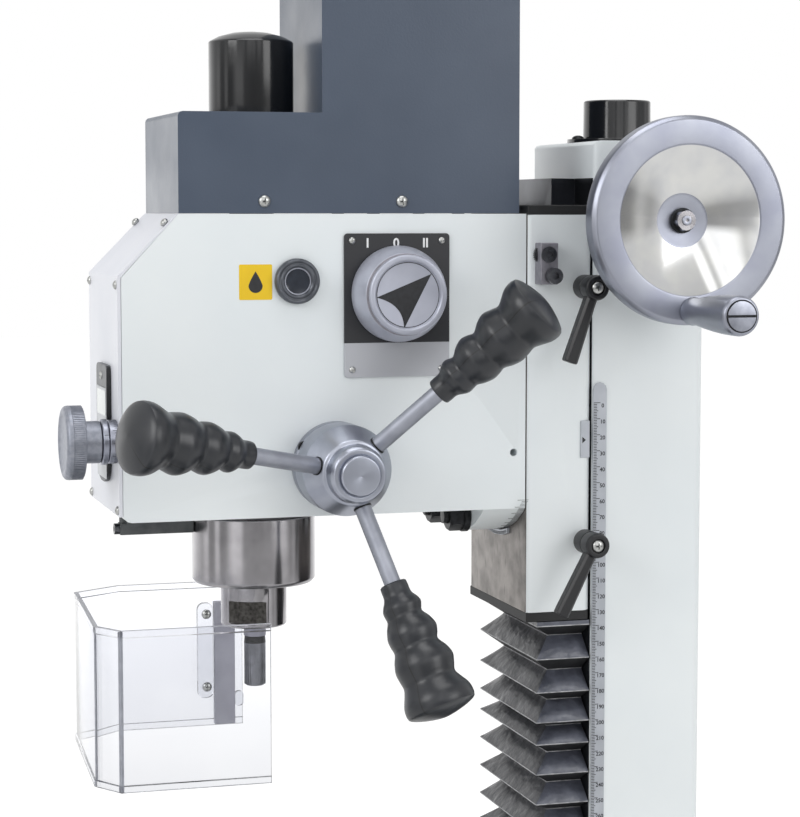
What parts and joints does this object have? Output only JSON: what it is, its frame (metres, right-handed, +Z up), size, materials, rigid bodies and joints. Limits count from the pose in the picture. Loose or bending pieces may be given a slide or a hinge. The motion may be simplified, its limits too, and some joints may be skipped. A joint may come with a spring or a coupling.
{
  "type": "drill milling machine",
  "caption": "Bench drill milling machine: tilting head on a dovetail column, quill feed with arms, pleated way cover, hinged chip guard and cross table.",
  "frame": {"origin": "underside of the base on the bench, straight below the spindle axis of the untilted head", "axes": "+X to the operator's right, +Y from the operator towards the column, +Z up"},
  "size_m": [0.8772, 0.6255, 1.047],
  "materials": {
    "white_paint": "satin",
    "slate_paint": "satin",
    "ground_iron": "ground",
    "bright_steel": "polished",
    "satin_steel": "satin",
    "dark_steel": "blackened",
    "black_plastic": "gloss",
    "grey_plastic": "matt",
    "black_rubber": "matt",
    "bronze": "machined",
    "clear_plastic": "clear"
  },
  "bodies": {
    "stand": {"base": "white_paint", "column": "white_paint", "column_cover": "white_paint", "top_cap": "black_plastic", "column_scale": "bright_steel", "crank_bearing": "dark_steel"},
    "z_screw": {"leadscrew": "bright_steel"},
    "z_crank": {"crank_shaft": "bright_steel", "z_handwheel": "satin_steel", "z_handle_bolt": "bright_steel"},
    "z_crank_grip": {"z_handle": "black_plastic"},
    "head_slide": {"saddle": "ground_iron", "upper_wiper": "black_rubber", "lower_wiper": "black_rubber", "leadscrew_nut": "bronze", "tilt_index_plate": "bright_steel", "stop_block": "dark_steel", "scale_pointer": "bright_steel", "bellows": "black_rubber"},
    "upper_lever": {"upper_lock_lever": "black_plastic"},
    "lower_lever": {"lower_lock_lever": "black_plastic"},
    "tilt_head": {"head_casting": "white_paint", "front_panel": "white_paint", "depth_display": "grey_plastic", "motor_cover": "slate_paint", "drawbar_cap": "black_plastic", "motor": "dark_steel", "drive_belt": "black_rubber", "speed_plate": "black_plastic", "sight_plug": "black_plastic", "feed_flange": "satin_steel", "fine_feed_seat": "satin_steel", "guard_post": "dark_steel", "guard_knob": "satin_steel"},
    "motor_rotor": {"motor_pulley": "satin_steel"},
    "spindle_drive": {"drive_sleeve": "satin_steel"},
    "speed_selector": {"speed_knob": "black_plastic"},
    "quill_slide": {"quill": "satin_steel", "depth_stop": "dark_steel"},
    "spindle_rotor": {"spindle": "bright_steel", "drawbar": "dark_steel"},
    "feed_shaft": {"pinion_shaft": "bright_steel", "worm_wheel": "bronze", "feed_hub": "satin_steel", "feed_grip_1": "black_rubber", "feed_grip_2": "black_rubber", "feed_grip_3": "black_rubber"},
    "fine_feed": {"worm_shaft": "bright_steel", "fine_feed_knob": "satin_steel", "fine_feed_dial": "satin_steel"},
    "guard": {"chip_guard": "clear_plastic", "guard_arm": "grey_plastic"},
    "cross_carriage": {"cross_slide": "white_paint"},
    "work_table": {"table": "ground_iron"},
    "x_feed": {"x_screw": "bright_steel", "x_handwheel_right": "satin_steel", "x_handwheel_left": "satin_steel"},
    "y_feed": {"y_screw": "bright_steel", "y_handwheel": "satin_steel"}
  },
  "joints": [
    {"name": "z_crank_turn", "type": "hinge", "parent": "stand", "child": "z_crank", "pos_m": [0, 0.2404, 0.83], "axis": [1, 0, 0], "range_deg": [-23090, 2100]},
    {"name": "head_travel", "type": "slide", "parent": "stand", "child": "head_slide", "axis": [0, 0, 1], "range_m": [-0.2565, 0.0233], "deforming": ["bellows"]},
    {"name": "z_screw_turn", "type": "hinge", "parent": "stand", "child": "z_screw", "pos_m": [0, 0.2404, 0.5], "axis": [0, 0, 1], "range_deg": [-23090, 2100]},
    {"name": "z_crank_grip_turn", "type": "hinge", "parent": "z_crank", "child": "z_crank_grip", "pos_m": [0.15, 0.2424, 0.776], "axis": [1, 0, 0], "continuous": true},
    {"name": "upper_lever_turn", "type": "hinge", "parent": "head_slide", "child": "upper_lever", "pos_m": [0.07, 0.195, 0.7893], "axis": [1, 0, 0], "range_deg": [-90, 0]},
    {"name": "lower_lever_turn", "type": "hinge", "parent": "head_slide", "child": "lower_lever", "pos_m": [0.07, 0.1965, 0.6315], "axis": [1, 0, 0], "range_deg": [-90, 0]},
    {"name": "head_tilt", "type": "hinge", "parent": "head_slide", "child": "tilt_head", "pos_m": [0, 0.16, 0.719], "axis": [0, 1, 0], "range_deg": [-45, 45]},
    {"name": "speed_selector_turn", "type": "hinge", "parent": "tilt_head", "child": "speed_selector", "pos_m": [0.07, 0.0771, 0.786], "axis": [1, 0, 0], "range_deg": [-92, 0]},
    {"name": "quill_feed_turn", "type": "hinge", "parent": "tilt_head", "child": "feed_shaft", "pos_m": [0.1, 0.0386, 0.6827], "axis": [1, 0, 0], "range_deg": [0, 353]},
    {"name": "quill_travel", "type": "slide", "parent": "tilt_head", "child": "quill_slide", "axis": [0, 0, -1], "range_m": [0, 0.054]},
    {"name": "fine_feed_turn", "type": "hinge", "parent": "tilt_head", "child": "fine_feed", "pos_m": [0.044, 0, 0.7], "axis": [0, 1, 0], "range_deg": [0, 8480]},
    {"name": "spindle_turn", "type": "hinge", "parent": "quill_slide", "child": "spindle_rotor", "pos_m": [0, 0, 0.65], "axis": [0, 0, 1], "continuous": true},
    {"name": "spindle_drive_turn", "type": "hinge", "parent": "tilt_head", "child": "spindle_drive", "pos_m": [0, 0, 0.85], "axis": [0, 0, 1], "continuous": true},
    {"name": "motor_turn", "type": "hinge", "parent": "tilt_head", "child": "motor_rotor", "pos_m": [0, 0.093, 0.86], "axis": [0, 0, 1], "continuous": true},
    {"name": "guard_swing", "type": "hinge", "parent": "tilt_head", "child": "guard", "pos_m": [-0.078, 0.018, 0.57], "axis": [0, 0, -1], "range_deg": [0, 100]},
    {"name": "y_feed_turn", "type": "hinge", "parent": "stand", "child": "y_feed", "pos_m": [0, -0.2, 0.07], "axis": [0, 1, 0], "range_deg": [-9005, 5855]},
    {"name": "cross_travel", "type": "slide", "parent": "stand", "child": "cross_carriage", "axis": [0, 1, 0], "range_m": [-0.1, 0.065]},
    {"name": "table_travel", "type": "slide", "parent": "cross_carriage", "child": "work_table", "axis": [1, 0, 0], "range_m": [-0.24, 0.24]},
    {"name": "x_feed_turn", "type": "hinge", "parent": "work_table", "child": "x_feed", "pos_m": [0, 0, 0.149], "axis": [1, 0, 0], "range_deg": [-21605, 21605]}
  ],
  "couplings": [
    {"joint": "z_crank_turn", "follows": "head_travel", "rad_per_m": 1570.8},
    {"joint": "z_screw_turn", "follows": "head_travel", "rad_per_m": 1570.8},
    {"joint": "quill_travel", "follows": "quill_feed_turn", "m_per_rad": 0.00875},
    {"joint": "fine_feed_turn", "follows": "quill_feed_turn", "ratio": 24},
    {"joint": "spindle_drive_turn", "follows": "spindle_turn", "ratio": 1},
    {"joint": "motor_turn", "follows": "spindle_turn", "ratio": 2.2222},
    {"joint": "y_feed_turn", "follows": "cross_travel", "rad_per_m": 1570.8},
    {"joint": "x_feed_turn", "follows": "table_travel", "rad_per_m": 1570.8}
  ]
}
